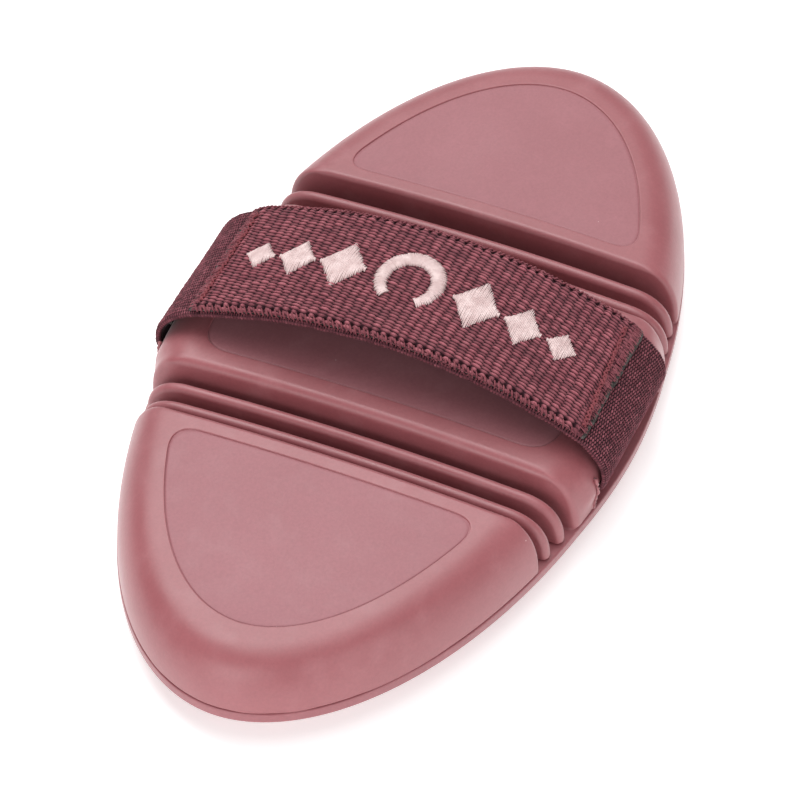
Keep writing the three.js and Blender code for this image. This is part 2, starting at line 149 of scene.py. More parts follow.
BULGE_LOW, BULGE_HIGH = 10.0, 23.0
BULGE_FADE = 5.0
BULGE_Y = 38.0
FLASH_HEIGHT = 8.6
SLOT_HALF = 17.8
SLOT_Y = 33.8
SLOT_LOW = 11.5
SLOT_HIGH = 14.9

TOOTH_PITCH_Y = 9.0
TOOTH_PITCH_X = 7.6
TOOTH_EDGE_MARGIN = 7.0
END_ROW_X = 41.6  # first row of teeth under an end pad
# Radius and height of a tooth from its root to its worn, rounded tip.
TOOTH_PROFILE = [
    (2.3, 6.4), (2.42, 6.02), (2.26, 5.82), (2.14, 5.5), (1.86, 3.8), (1.58, 2.0),
    (1.36, 0.62), (1.27, 0.3), (1.06, 0.11), (0.7, 0.02),
]
TOOTH_SIDES = 18
PAD_CREASE, RIB_CREASE, SOLE_CREASE = 38, 45, 40  # degrees from which an edge is shaded sharp

# --- dimensions of the strap, mm
STRAP_HALF = 17.0
BAND_PROFILE = [
    (0, 30.6), (8, 30.25), (16, 29.35), (24, 27.75), (31, 25.75), (37, 23.75), (42, 21.95),
    (45.5, 20.15), (48.2, 17.9), (50.3, 15.1), (51.3, 12.2), (51.3, 9.4), (50.3, 7.1),
    (48.4, 6.05), (46, 5.9), (41, 5.9), (35, 5.9),
]
WEBBING_LEFT = 43.5
WEBBING_RIGHT = 46.5
WEBBING_ENDS = ((WEBBING_LEFT, 1), (-WEBBING_RIGHT, -1))  # place along the strap, outward direction
BAND_UNDER = -1.3  # inner face of the woven band, below its outer face
PILE_UNDER = -1.75
BACKING_LOW, BACKING_HIGH = 0.2, 0.5
BACKING_HALF = 16.6
WEBBING_LOW, WEBBING_HIGH = 0.62, 2.0
WEBBING_EDGE_DROP = 0.75
EDGE_LINE = 15.65  # needle holes of the overlocked edges
EDGE_PITCH = 2.0
# The two strands of an overlock stitch: start along the edge, needle hole from the middle, radius.
EDGE_STRANDS = ((1.35, 15.85, 0.22), (2.3, 16.0, 0.2))
SEAM_IN = 1.9  # end seams, from the webbing's ends
SEAM_SLANT = 0.085  # the right seam comes nearer to the webbing's end towards the front
SEAM_HALF = 14.6
SEAM_PITCH = 2.3
SEAM_SWING = (-0.36, 0.42)  # the zigzag's two sides, from the seam's line
SEAM_RADIUS = 0.23
SEAM_DIP = -0.1  # a seam thread's lift at its needle holes


# --- small numeric helpers
def smoothstep(value):
    t = np.clip(value, 0, 1)
    return t * t * (3 - 2 * t)


def value_noise(x, y, seed):
    """Smooth noise from -1 to 1 with features about one unit across."""
    lattice = np.random.RandomState(seed).uniform(-1, 1, (64, 64))
    x, y = np.broadcast_arrays(np.asarray(x, float), np.asarray(y, float))
    i, j = np.floor(x).astype(int), np.floor(y).astype(int)
    u, v = smoothstep(x - i), smoothstep(y - j)
    a, b = lattice[i % 64, j % 64], lattice[(i + 1) % 64, j % 64]
    c, d = lattice[i % 64, (j + 1) % 64], lattice[(i + 1) % 64, (j + 1) % 64]
    return (a * (1 - u) + b * u) * (1 - v) + (c * (1 - u) + d * u) * v


def oval_half_width(x, a=HALF_LENGTH, b=HALF_WIDTH):
    ratio = np.minimum(np.abs(x) / a, 1)
    return b * (1 - ratio ** OVAL_POWER) ** (1 / OVAL_POWER)


def foot_swell(x):
    return SWELL * np.cos(np.clip(x / SWELL_HALF, -1, 1) * math.pi / 2)


def crown_height(x, y):
    return PAD_TOP - CROWN_X * x * x - CROWN_Y * y * y


def shoulder_inset(rise):
    return SHOULDER * (1 - (1 - rise ** SHOULDER_POWER) ** (1 / SHOULDER_POWER))


def rounded_edge(depth, radius):
    return 0.0 if depth >= radius else radius - math.sqrt(radius ** 2 - (radius - depth) ** 2)


# --- mesh building
THREAD_UP = np.array([0.31, 0.2, 0.93])  # no thread runs along this direction


class Shape:
    """Points in mm with quads and triangles, gathered from several closed shells."""

    def __init__(self):
        self.points, self.quads, self.tris, self.panel, self.weave = [], [], [], [], []
        self.count = 0

    def add(self, points, quads, tris=None, panel=None, weave=None):
        points = np.asarray(points, float).reshape(-1, 3)
        quads = np.asarray(quads, int).reshape(-1, 4)
        tris = np.zeros((0, 3), int) if tris is None else np.asarray(tris, int).reshape(-1, 3)
        a, b, c, d = (points[quads[:, k]] for k in range(4))
        volume = (a * np.cross(b, c)).sum() + (a * np.cross(c, d)).sum()
        a, b, c = (points[tris[:, k]] for k in range(3))
        volume += (a * np.cross(b, c)).sum()
        if volume < 0:
            quads, tris = quads[:, ::-1], tris[:, ::-1]
        self.points.append(points)
        self.quads.append(quads + self.count)
        self.tris.append(tris + self.count)
        self.panel.append(np.zeros(len(quads), bool) if panel is None else panel)
        self.weave.append(np.full(len(points), 0.8) if weave is None else np.ravel(weave))
        self.count += len(points)

    def loft(self, rings, panel_from=None, weave=None, caps="fan"):
        """Closed shell through rings of equal length, its ends closed by a fan or a ladder of quads."""
        rings = np.asarray(rings, float)
        rows, columns = rings.shape[:2]
        i = np.arange(columns)
        j = (i + 1) % columns
        base = np.arange(rows - 1)[:, None] * columns
        quads = np.stack(
            [base + i, base + j, base + columns + j, base + columns + i], -1
        ).reshape(-1, 4)
        panel = np.zeros(len(quads), bool)
        if panel_from is not None:
            panel[panel_from * columns:] = True
        points = rings.reshape(-1, 3)
        last = (rows - 1) * columns
        if caps == "ladder":
            k = np.arange(columns // 2 - 1)
            rungs = np.stack([k, columns - 1 - k, columns - 2 - k, k + 1], -1)
            quads = np.concatenate([quads, rungs, (rungs + last)[:, ::-1]])
            panel = np.concatenate([panel, np.zeros(2 * len(rungs), bool)])
            self.add(points, quads, None, panel, weave)
            return
        tris = np.concatenate([
            np.stack([j, i, np.full(columns, len(points))], -1),
            np.stack([last + i, last + j, np.full(columns, len(points) + 1)], -1),
        ])
        ends = np.stack([rings[0].mean(0), rings[-1].mean(0)])
        if weave is not None:
            weave = np.concatenate([np.ravel(weave), [0.3, 0.3]])
        self.add(np.concatenate([points, ends]), quads, tris, panel, weave)

    def tube(self, path, radius, sides, flat=1.0):
        """Closed thread along a path. flat squeezes it along its normal."""
        path = np.asarray(path, float)
        radius = np.broadcast_to(np.asarray(radius, float), len(path))
        tangent = np.gradient(path, axis=0)
        tangent /= np.linalg.norm(tangent, axis=1, keepdims=True) + 1e-12
        side = np.cross(tangent, THREAD_UP)
        side /= np.linalg.norm(side, axis=1, keepdims=True) + 1e-12
        normal = np.cross(side, tangent)
        turn = np.arange(sides) * 2 * math.pi / sides
        rings = (
            path[:, None]
            + side[:, None] * (np.cos(turn)[None, :, None] * radius[:, None, None])
            + normal[:, None] * (np.sin(turn)[None, :, None] * radius[:, None, None] * flat)
        )
        self.loft(rings)

    def finish(self, name, materials, body=None, replaces=(), mirror=False, sharp=None):
        points = np.concatenate(self.points) * MM
        quads, tris = np.concatenate(self.quads), np.concatenate(self.tris)
        if mirror:
            points[:, 0] *= -1
            quads, tris = quads[:, ::-1], tris[:, ::-1]
        mesh = bpy.data.meshes.new(name)
        mesh.vertices.add(len(points))
        mesh.vertices.foreach_set("co", points.ravel())
        loops = np.concatenate([quads.ravel(), tris.ravel()])
        mesh.loops.add(len(loops))
        mesh.loops.foreach_set("vertex_index", loops)
        sizes = np.concatenate([np.full(len(quads), 4), np.full(len(tris), 3)])
        mesh.polygons.add(len(sizes))
        mesh.polygons.foreach_set("loop_start", np.concatenate([[0], np.cumsum(sizes)[:-1]]))
        for material in materials:
            mesh.materials.append(material)
        mesh.update(calc_edges=True)
        if len(materials) > 1:
            marks = np.concatenate([np.concatenate(self.panel), np.zeros(len(tris), bool)])
            if marks.any():  # the upper fan of triangles closes the panel
                marks[len(quads):] = points[tris, 2].min(1) > PAD_TOP / 2 * MM
            mesh.polygons.foreach_set("material_index", marks.astype(np.int32))
        weave = mesh.attributes.new("weave", "FLOAT", "POINT")
        weave.data.foreach_set("value", np.concatenate(self.weave).astype(np.float32))
        mesh.polygons.foreach_set("use_smooth", np.ones(len(sizes), bool))
        mesh.validate()
        if sharp is not None:
            mesh.set_sharp_from_angle(angle=math.radians(sharp))
        piece = add_object(name, mesh)
        if replaces:
            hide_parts(*replaces)
        if body:
            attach(piece, body)
        return piece


def cut_box(piece, low, high):
    """Takes a box, given in mm, out of a piece."""
    spans = list(zip(low, high))
    corners = [(x * MM, y * MM, z * MM) for x in spans[0] for y in spans[1] for z in spans[2]]
    faces = [(0, 1, 3, 2), (4, 6, 7, 5), (0, 4, 5, 1), (2, 3, 7, 6), (0, 2, 6, 4), (1, 5, 7, 3)]
    mesh = bpy.data.meshes.new("cutter")
    mesh.from_pydata(corners, [], faces)
    cutter = add_object("cutter", mesh)
    modifier = piece.modifiers.new("cut", "BOOLEAN")
    modifier.operation, modifier.solver, modifier.object = "DIFFERENCE", "EXACT", cutter
    bpy.context.view_layer.update()
    graph = bpy.context.evaluated_depsgraph_get()
    cut = bpy.data.meshes.new_from_object(piece.evaluated_get(graph))
    piece.modifiers.clear()
    old, piece.data = piece.data, cut
    bpy.data.meshes.remove(old)
    bpy.data.objects.remove(cutter)


# --- materials
# Scales of noise are per metre, distances of bump in metres.
def material_nodes(name):
    material = bpy.data.materials.new(name)
    material.use_nodes = True
    nodes = material.node_tree.nodes
    return material, nodes, material.node_tree.links, nodes["Principled BSDF"]


def add_noise(nodes, links, source, scale, detail=2.0, roughness=0.5):
    node = nodes.new("ShaderNodeTexNoise")
    node.inputs["Scale"].default_value = scale
    node.inputs["Detail"].default_value = detail
    node.inputs["Roughness"].default_value = roughness
    links.new(source, node.inputs["Vector"])
    return node.outputs["Fac"]


def add_range(nodes, links, source, low, high, to_low, to_high):
    node = nodes.new("ShaderNodeMapRange")
    limits = {"From Min": low, "From Max": high, "To Min": to_low, "To Max": to_high}
    for socket, value in limits.items():
        node.inputs[socket].default_value = value
    links.new(source, node.inputs["Value"])
    return node.outputs["Result"]


def add_mix(nodes, links, factor, first, second, blend="MIX"):
    node = nodes.new("ShaderNodeMix")
    node.data_type, node.blend_type = "RGBA", blend
    for socket, value in ((0, factor), (6, first), (7, second)):
        if isinstance(value, (tuple, float)):
            node.inputs[socket].default_value = (*value, 1) if isinstance(value, tuple) else value
        else:
            links.new(value, node.inputs[socket])
    return node.outputs[2]


def add_bump(nodes, links, height, strength, distance, before=None):
    node = nodes.new("ShaderNodeBump")
    node.inputs["Strength"].default_value = strength
    node.inputs["Distance"].default_value = distance
    links.new(height, node.inputs["Height"])
    if before is not None:
        links.new(before, node.inputs["Normal"])
    return node.outputs["Normal"]


def rubber_material(name, deep, plain, bloom, roughness, grain, specular):
    """Soft moulded rubber: cloudy colour, a pale bloom in patches, fine grain and a few specks of dust."""
    material, nodes, links, shader = material_nodes(name)
    place = nodes.new("ShaderNodeTexCoord").outputs["Object"]
    cloud = add_noise(nodes, links, place, 38, 4, 0.6)
    patch = add_noise(nodes, links, place, 150, 3, 0.6)
    fine = add_noise(nodes, links, place, 1500, 3, 0.65)
    colour = add_mix(nodes, links, add_range(nodes, links, cloud, 0.34, 0.66, 0, 1), deep, plain)
    colour = add_mix(nodes, links, add_range(nodes, links, patch, 0.52, 0.78, 0, 0.55), colour, bloom)
    speckle = add_range(nodes, links, fine, 0.3, 0.7, 0.93, 1.06)
    shade = nodes.new("ShaderNodeCombineColor")
    for socket in ("Red", "Green", "Blue"):
        links.new(speckle, shade.inputs[socket])
    colour = add_mix(nodes, links, 1.0, colour, shade.outputs["Color"], "MULTIPLY")
    dust = nodes.new("ShaderNodeTexVoronoi")
    dust.inputs["Scale"].default_value = 170
    links.new(place, dust.inputs["Vector"])
    spot = add_range(nodes, links, dust.outputs["Distance"], 0.014, 0.03, 1, 0)
    rare = add_range(nodes, links, patch, 0.57, 0.6, 0, 0.8)
    both = nodes.new("ShaderNodeMath")
    both.operation = "MULTIPLY"
    links.new(spot, both.inputs[0])
    links.new(rare, both.inputs[1])
    colour = add_mix(nodes, links, both.outputs[0], colour, (0.72, 0.52, 0.5))
    links.new(colour, shader.inputs["Base Color"])
    gloss = add_range(nodes, links, patch, 0.3, 0.75, roughness - 0.05, roughness + 0.07)
    links.new(gloss, shader.inputs["Roughness"])
    shader.inputs["Specular IOR Level"].default_value = specular
    shader.inputs["Sheen Weight"].default_value = 0.3
    shader.inputs["Sheen Roughness"].default_value = 0.38
    shader.inputs["Sheen Tint"].default_value = (1, 0.93, 0.93, 1)
    bump = add_bump(nodes, links, fine, grain, 0.00006)
    bump = add_bump(nodes, links, add_noise(nodes, links, place, 260, 2), 0.12, 0.00025, bump)
    links.new(bump, shader.inputs["Normal"])
    return material


def thread_material(name, gap_shade, yarn, light, roughness, sheen, stretch, tint=(1, 0.75, 0.78)):
    """Yarn seen close: painted shade makes it darker down in the weave and a painted highlight lightens the
    tops of its floats, with fine lengthwise fibres and uneven dye.

    Its three colours come deepest first: painted shade for the gaps in the weave, then the yarn and its
    lighter tone. A small stretch draws the fibres out along that axis.
    """
    material, nodes, links, shader = material_nodes(name)
    place = nodes.new("ShaderNodeTexCoord").outputs["Object"]
    squeeze = nodes.new("ShaderNodeMapping")
    squeeze.inputs["Scale"].default_value = stretch
    links.new(place, squeeze.inputs["Vector"])
    fibre = add_noise(nodes, links, squeeze.outputs["Vector"], 1000, 3, 0.7)
    dye = add_noise(nodes, links, place, 420, 3, 0.6)
    height = nodes.new("ShaderNodeAttribute")
    height.attribute_name = "weave"
    # Painted shade: where the weave attribute is low, down between the floats and in the needle holes, the
    # colour goes to the darkest one.
    depth = add_range(nodes, links, height.outputs["Fac"], 0.2, 0.8, 0, 1)
    colour = add_mix(nodes, links, add_range(nodes, links, dye, 0.35, 0.68, 0, 1), yarn, light)
    colour = add_mix(nodes, links, add_range(nodes, links, fibre, 0.38, 0.62, 0, 0.45), colour, yarn)
    # Painted highlight: where the weave attribute is high, on the tops of the floats, the colour is
    # lightened.
    painted_highlight = add_range(nodes, links, height.outputs["Fac"], 0.8, 1, 0, 0.4)
    colour = add_mix(nodes, links, painted_highlight, colour, tuple(min(1.0, 1.5 * value) for value in light))
    colour = add_mix(nodes, links, depth, gap_shade, colour)
    links.new(colour, shader.inputs["Base Color"])
    shader.inputs["Roughness"].default_value = roughness
    shader.inputs["Specular IOR Level"].default_value = 0.22
    shader.inputs["Sheen Weight"].default_value = sheen
    shader.inputs["Sheen Roughness"].default_value = 0.45
    shader.inputs["Sheen Tint"].default_value = (*tint, 1)
    links.new(add_bump(nodes, links, fibre, 0.5, 0.00008), shader.inputs["Normal"])
    return material


RUBBER = rubber_material(
    "rubber", (0.295, 0.076, 0.088), (0.33, 0.094, 0.107), (0.365, 0.128, 0.143), 0.45, 0.35, 0.75)
PANEL = rubber_material(
    "rubber_panel", (0.315, 0.105, 0.122), (0.34, 0.122, 0.14), (0.365, 0.14, 0.16), 0.56, 0.6, 0.65)
SOLE = rubber_material(
    "rubber_sole", (0.28, 0.072, 0.086), (0.315, 0.09, 0.104), (0.36, 0.125, 0.14), 0.45, 0.4, 0.75)
BAND = thread_material(
    "band_yarn", (0.012, 0.002, 0.005), (0.17, 0.043, 0.058), (0.28, 0.086, 0.108), 0.8, 0.03, (1, 0.3, 0.3))
WEBBING = thread_material(
    "webbing_yarn", (0.03, 0.006, 0.011), (0.235, 0.061, 0.079), (0.36, 0.116, 0.138), 0.7, 0.06,
    (1.2, 0.2, 0.2))
PILE = thread_material(
    "pile_yarn", (0.006, 0.003, 0.004), (0.022, 0.01, 0.014), (0.05, 0.022, 0.03), 0.95, 0.1, (1, 1, 1))
EDGE_THREAD = thread_material(
    "edge_thread", (0.03, 0.005, 0.01), (0.175, 0.042, 0.055), (0.27, 0.078, 0.093), 0.65, 0.06, (0.4, 1, 1))
SEAM_THREAD = thread_material(
    "seam_thread", (0.035, 0.006, 0.009), (0.18, 0.037, 0.047), (0.28, 0.068, 0.08), 0.6, 0.08, (1, 0.4, 0.4))
SATIN = thread_material(
    "satin_thread", (0.2, 0.09, 0.09), (0.62, 0.455, 0.445), (0.85, 0.69, 0.675), 0.4, 0.2, (0.5, 0.5, 1),
    (1, 0.9, 0.9))
BACKING = thread_material(
    "backing_fibre", (0.022, 0.018, 0.017), (0.085, 0.072, 0.068), (0.155, 0.14, 0.132), 0.9, 0.1, (1, 1, 1),
    (1, 1, 1))
HOOK = thread_material(
    "hook_tape_nylon", (0.01, 0.009, 0.008), (0.02, 0.018, 0.016), (0.04, 0.036, 0.032), 0.5, 0.1, (1, 1, 1),
    (1, 1, 1))
FUZZ = thread_material(
    "pale_fuzz", (0.4, 0.33, 0.3), (0.55, 0.46, 0.42), (0.7, 0.62, 0.58), 0.8, 0.2, (1, 1, 1), (1, 1, 1))


# --- rubber pads
CORNER_STEPS = 9


def corner_points(start, corner, end):
    t = (np.arange(1, CORNER_STEPS) / CORNER_STEPS)[:, None]
    return (1 - t) ** 2 * start + 2 * t * (1 - t) * corner + t ** 2 * end


def plan_outline(x0, x1, a, b, ease, arc, chord_steps):
    """Counter-clockwise outline of an oval from x0 to x1; arc is the fractions from x1, ease rounds it."""
    tip = x1 >= a
    if tip:
        start = math.acos(min(abs(x0 + ease) / a, 1) ** (OVAL_POWER / 2))
        x = a * np.cos(start * arc) ** (2 / OVAL_POWER)
    else:
        x = (x1 - ease) + (x0 + ease - (x1 - ease)) * arc
    upper = np.stack([x, oval_half_width(x, a, b)], -1)
    lower = upper[::-1] * [1, -1]

    def chord(edge_x, side):
        reach = oval_half_width(edge_x, a, b) - ease
        y = reach * np.linspace(1, -1, chord_steps + 1) * side
        return np.stack([np.full(len(y), edge_x), y], -1)

    def sharp(edge_x, side):
        return np.array([edge_x, side * oval_half_width(edge_x, a, b)])

    if ease == 0:
        parts = [upper, chord(x0, 1)[1:-1], lower[:-1] if tip else lower]
        if not tip:
            parts.append(chord(x1, -1)[1:-1])
        return np.concatenate(parts)
    left = chord(x0, 1)
    parts = [
        upper, corner_points(upper[-1], sharp(x0, 1), left[0]), left,
        corner_points(left[-1], sharp(x0, -1), lower[0]),
    ]
    if tip:
        return np.concatenate([*parts, lower[:-1]])
    right = chord(x1, -1)
    parts += [
        lower, corner_points(lower[-1], sharp(x1, -1), right[0]), right,
        corner_points(right[-1], sharp(x1, 1), upper[0]),
    ]
    return np.concatenate(parts)


# Height over the sole, how much of the parting groove is cut there, and the flare of the foot.
FOOT = [
    (0.02, 1, 0.42), (0.09, 1, 0.28), (0.17, 0.85, 0.17), (0.26, 0.4, 0.09), (0.38, 0.08, 0.03), (0.6, 0, 0)]
# Profile of the sunk panel's edge: distance outside its outline, and depth.
PANEL_EDGE = [
    (0.5, 0), (0.2, 0), (0.09, 0.015), (0.02, 0.07), (-0.02, 0.2), (-0.07, 0.33), (-0.15, 0.36), (-0.24, 0.3),
    (-0.34, PANEL_DEPTH), (-0.7, PANEL_DEPTH),
]


def pad_shape(x0, x1, panel_x0, panel_x1, edge_radius, arc, chord_steps, seed):
    """Rings of a pad from its foot to the middle of its panel, and where the panel's floor starts."""
    full = PAD_TOP - SOLE_TOP
    tip = x1 > HALF_LENGTH
    depths = [full - height for height, _, _ in FOOT]
    depths += list(np.linspace(full - 0.9, 3.2, 22)) + list(3.0 * np.linspace(1, 0, 30) ** 2.5)
    rings = []
    for k, depth in enumerate(depths):
        _, groove, flare = FOOT[k] if k < len(FOOT) else (0, 0, 0)
        rise = 1 - depth / full
        inset = BODY_INSET + shoulder_inset(rise)
        edge = rounded_edge(depth, edge_radius) - flare
        a, b = HALF_LENGTH - inset, HALF_WIDTH - inset
        loop = plan_outline(x0 + edge, a if tip else x1 - edge, a, b, EDGE_CORNER, arc, chord_steps)
        x, y = loop[:, 0], loop[:, 1]
        z = SOLE_TOP + (crown_height(x, y) - SOLE_TOP) * rise
        if groove:
            around = value_noise(x / 7 + 9, y / 7 + 9, seed)
            bite = groove * (0.1 + 0.24 * smoothstep(0.5 + 1.4 * around))
            size = np.hypot(x / HALF_LENGTH ** 2, y / HALF_WIDTH ** 2)
            x = x - bite * (x / HALF_LENGTH ** 2) / size
            y = y - bite * (y / HALF_WIDTH ** 2) / size
            z = np.full(len(x), SOLE_TOP + FOOT[k][0])
        rings.append(np.stack([x, y, z], -1))

    def panel_loop(grow, drop):
        a, b = PANEL_A + grow, PANEL_B + grow
        end = a if tip else panel_x1 + grow
        loop = plan_outline(panel_x0 - grow, end, a, b, PANEL_CORNER, arc, chord_steps)
        return np.column_stack([loop, crown_height(loop[:, 0], loop[:, 1]) - drop])

    outer, inner = rings[-1], panel_loop(*PANEL_EDGE[0])
    for t in np.linspace(0, 1, 8)[1:-1]:
        mixed = outer + (inner - outer) * t
        mixed[:, 2] = crown_height(mixed[:, 0], mixed[:, 1])
        rings.append(mixed)
    rings += [panel_loop(grow, drop) for grow, drop in PANEL_EDGE]
    floor_from = len(rings) - 5
    floor = rings[-1]
    middle = floor[:, :2].mean(0)
    for scale in np.linspace(1, 0, 16)[1:-1]:
        plan = middle + (floor[:, :2] - middle) * scale
        rings.append(np.column_stack([plan, crown_height(plan[:, 0], plan[:, 1]) - PANEL_DEPTH]))
    return np.array(rings), floor_from


def side_bulge(x, z):
    """How far the centre pad's sides swell out beside the strap."""
    swell = BULGE * smoothstep((ZONE_START - 1 - np.abs(x)) / BULGE_FADE)
    return swell * smoothstep((z - BULGE_LOW) / BULGE_FADE) * smoothstep((BULGE_HIGH - z) / BULGE_FADE)


def cut_recess(points):
    """Draws the centre pad's sides in behind the strap, and swells them beside and above this recess."""
    x, y, z = points[..., 0], points[..., 1], points[..., 2]
    limit = RECESS_Y + (z - RECESS_FOOT) * RECESS_LEAN
    amount = smoothstep((RECESS_HALF + 0.4 - np.abs(x)) / 0.7) * (z < RECESS_TOP)
    reach = np.abs(y) + side_bulge(x, z) * smoothstep((np.abs(y) - BULGE_Y) / BULGE_FADE)
    pulled = np.where(reach > limit, limit + (reach - limit) * (1 - amount), reach)
    points[..., 1] = np.sign(y) * pulled
    return points


def crowded(edges, centres, width, extra):
    """Fractions from 0 to 1, with extra ones crowded about the given places."""
    close = [centre + width * np.linspace(-1, 1, extra) for centre in centres]
    return np.unique(np.round(np.concatenate([np.linspace(0, 1, edges), *close]), 6))


recess_places = [0.5 + side * (RECESS_HALF + 0.05) / (2 * (ZONE_START - EDGE_CORNER)) for side in (-1, 1)]
centre_rings, centre_floor = pad_shape(
    -ZONE_START, ZONE_START, -PANEL_CENTRE_X, PANEL_CENTRE_X, CENTRE_EDGE_R,
    crowded(85, recess_places, 0.012, 13), 60, 5,
)
shape = Shape()
shape.loft(cut_recess(centre_rings), centre_floor)
centre_pad = shape.finish("rubber_pad_centre", [RUBBER, PANEL])
for side in (-1, 1):
    y0, y1 = sorted((side * SLOT_Y, side * (RECESS_Y + 3)))
    cut_box(centre_pad, (-SLOT_HALF, y0, SLOT_LOW), (SLOT_HALF, y1, SLOT_HIGH))
centre_pad.data.set_sharp_from_angle(angle=math.radians(PAD_CREASE))
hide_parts("pad_centre")
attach(centre_pad, "centre")

# Ragged moulding flash down the ends of the recesses.
shape = Shape()
flash_chance = random.Random(3)
for side in (-1, 1):
    for end in (-1, 1):
        t = np.linspace(0, 1, 26)
        z = SOLE_TOP + 0.1 + FLASH_HEIGHT * t
        rise = t * FLASH_HEIGHT / (PAD_TOP - SOLE_TOP)
        out = oval_half_width(RECESS_HALF) - BODY_INSET - shoulder_inset(rise)
        out = out + side_bulge(RECESS_HALF, z)
        ragged = np.array([flash_chance.uniform(-0.16, 0.16) for _ in t])
        thick = np.array([flash_chance.uniform(0.2, 0.5) for _ in t])
        path = np.column_stack([end * (RECESS_HALF + 0.05 + ragged), side * (out - 0.05 + ragged[::-1]), z])
        shape.tube(path, thick, 7)
shape.finish("rubber_flash", [RUBBER], "centre")

for end, mirror, seed in (("rear", False, 11), ("front", True, 23)):
    rings, floor_from = pad_shape(
        ZONE_END, HALF_LENGTH + 1, PANEL_END_X, 0, END_EDGE_R, np.linspace(0, 1, 120), 60, seed)
    shape = Shape()
    shape.loft(rings, floor_from)
    shape.finish(f"rubber_pad_{end}", [RUBBER, PANEL], f"{end}_pad",
                 [f"pad_{end}"], mirror, PAD_CREASE)


# --- ribs
def rib_rings(middle):
    """Slices of a rib through its thickness, each running over it from +Y to -Y."""
    half = RIB_THICKNESS / 2
    rings = []
    for offset in np.sin(np.linspace(-1, 1, 27) * math.pi / 2):
        inset = half * (1 - math.sqrt(max(1 - offset * offset, 0)))
        reach = oval_half_width(middle) - BODY_INSET - RIB_INSET - inset
        turn = np.linspace(0, math.pi / 2, 56)
        rise = np.sin(turn) ** (2 / SHOULDER_POWER)
        y = reach - (SHOULDER - inset) * (1 - np.cos(turn) ** (2 / SHOULDER_POWER))
        crest = crown_height(middle, y) - RIB_DROP - inset
        z = np.maximum(SEAT, SOLE_TOP + (crest - SOLE_TOP) * rise)
        flare = 0.4 * np.clip(1 - (z - SEAT) / 0.7, 0, 1) ** 2 * abs(offset) ** 3
        x = middle + offset * half * (1 + RIB_DRAFT * (1 - rise)) + np.sign(offset) * flare
        side = np.stack([x, y, z], -1)
        across = y[-1] * np.linspace(1, -1, 61)[1:-1]
        flat = np.stack([
            np.full(len(across), middle + offset * half), across,
            crown_height(middle, across) - RIB_DROP - inset,
        ], -1)
        rings.append(np.concatenate([side, flat, side[::-1] * [1, -1, 1]]))
    rings = np.array(rings)
    return rings[:, : rings.shape[1] // 2 * 2]


for end, mirror in (("rear", False), ("front", True)):
    for place, middle in zip(("inner", "outer"), RIB_MIDDLES):
        shape = Shape()
        shape.loft(rib_rings(middle), caps="ladder")
        shape.finish(f"rubber_rib_{end}_{place}", [RUBBER], f"{end}_{place}_rib",
                     [f"rib_{end}_{place}"], mirror, RIB_CREASE)

# --- toothed sole
# Height and inset of the sole's rounded rim, from its underside to its top.
RIM = [
    (SOLE_BOTTOM, 0.6), (SOLE_BOTTOM + 0.05, 0.36), (SOLE_BOTTOM + 0.18, 0.15),
    (SOLE_BOTTOM + 0.38, 0.03), (SOLE_BOTTOM + 0.62, 0),
    (SOLE_TOP - 0.5, 0), (SOLE_TOP - 0.26, 0.03), (SOLE_TOP - 0.09, 0.12), (SOLE_TOP, 0.32),
]


def add_teeth(shape, x, staggered):
    reach = oval_half_width(x, HALF_LENGTH - TOOTH_EDGE_MARGIN, HALF_WIDTH - TOOTH_EDGE_MARGIN)
    turn = np.arange(TOOTH_SIDES) * 2 * math.pi / TOOTH_SIDES
    for k in range(-6, 7):
        y = k * TOOTH_PITCH_Y + (TOOTH_PITCH_Y / 2 if staggered else 0)
        if abs(y) <= reach:
            shape.loft([
                np.stack([x + r * np.cos(turn), y + r * np.sin(turn), np.full(TOOTH_SIDES, z)], -1)
                for r, z in TOOTH_PROFILE
            ])


def sole_segment(x0, x1, rows, arc, name, body, node, mirror=False):
    tip = x1 > HALF_LENGTH
    rings = []
    for z, inset in RIM:
        a, b = HALF_LENGTH - inset, HALF_WIDTH - inset
        loop = plan_outline(x0, a if tip else x1, a, b, 0, arc, 40)
        loop[:, 1] += np.sign(loop[:, 1]) * foot_swell(loop[:, 0])
        rings.append(np.column_stack([loop, np.full(len(loop), z)]))
    shape = Shape()
    shape.loft(rings)
    for x, staggered in rows:
        add_teeth(shape, x, staggered)
    shape.finish(name, [SOLE], body, [node], mirror, SOLE_CREASE)


centre_rows = [(k * TOOTH_PITCH_X, k % 2 != 0) for k in range(-3, 4)]
sole_segment(-HINGES[0] + WEB_HALF, HINGES[0] - WEB_HALF, centre_rows, np.linspace(0, 1, 80),
             "rubber_sole_centre", "centre", "sole_centre")
end_rows = [(END_ROW_X + k * TOOTH_PITCH_X, k % 2 != 0) for k in range(7)]
for end, mirror in (("rear", False), ("front", True)):
    for k, place in enumerate(("inner", "outer")):
        x0, x1 = HINGES[k] + WEB_HALF, HINGES[k + 1] - WEB_HALF
        sole_segment(x0, x1, [((x0 + x1) / 2, k == 1)], np.linspace(0, 1, 9),
                     f"rubber_sole_{end}_{place}", f"{end}_{place}_rib", f"sole_{end}_{place}", mirror)
    sole_segment(HINGES[2] + WEB_HALF, HALF_LENGTH + 1, end_rows, np.linspace(0, 1, 120),
                 f"rubber_sole_{end}_end", f"{end}_pad", f"sole_{end}_end", mirror)

    # Thin stretches of sole that bend under the grooves.
    for k, hinge in enumerate(HINGES):
        rings = []
        for x in np.linspace(hinge - WEB_HALF, hinge + WEB_HALF, 9):
            wide = [(x, oval_half_width(x, HALF_LENGTH - inset, HALF_WIDTH - inset), z) for z, inset in RIM]
            rings.append(wide + [(px, -py, pz) for px, py, pz in reversed(wide)])
        shape = Shape()
        shape.loft(rings, caps="ladder")
        web = shape.finish(f"rubber_web_{end}_{k + 1}", [SOLE], None, (), mirror, SOLE_CREASE)
        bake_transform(web)


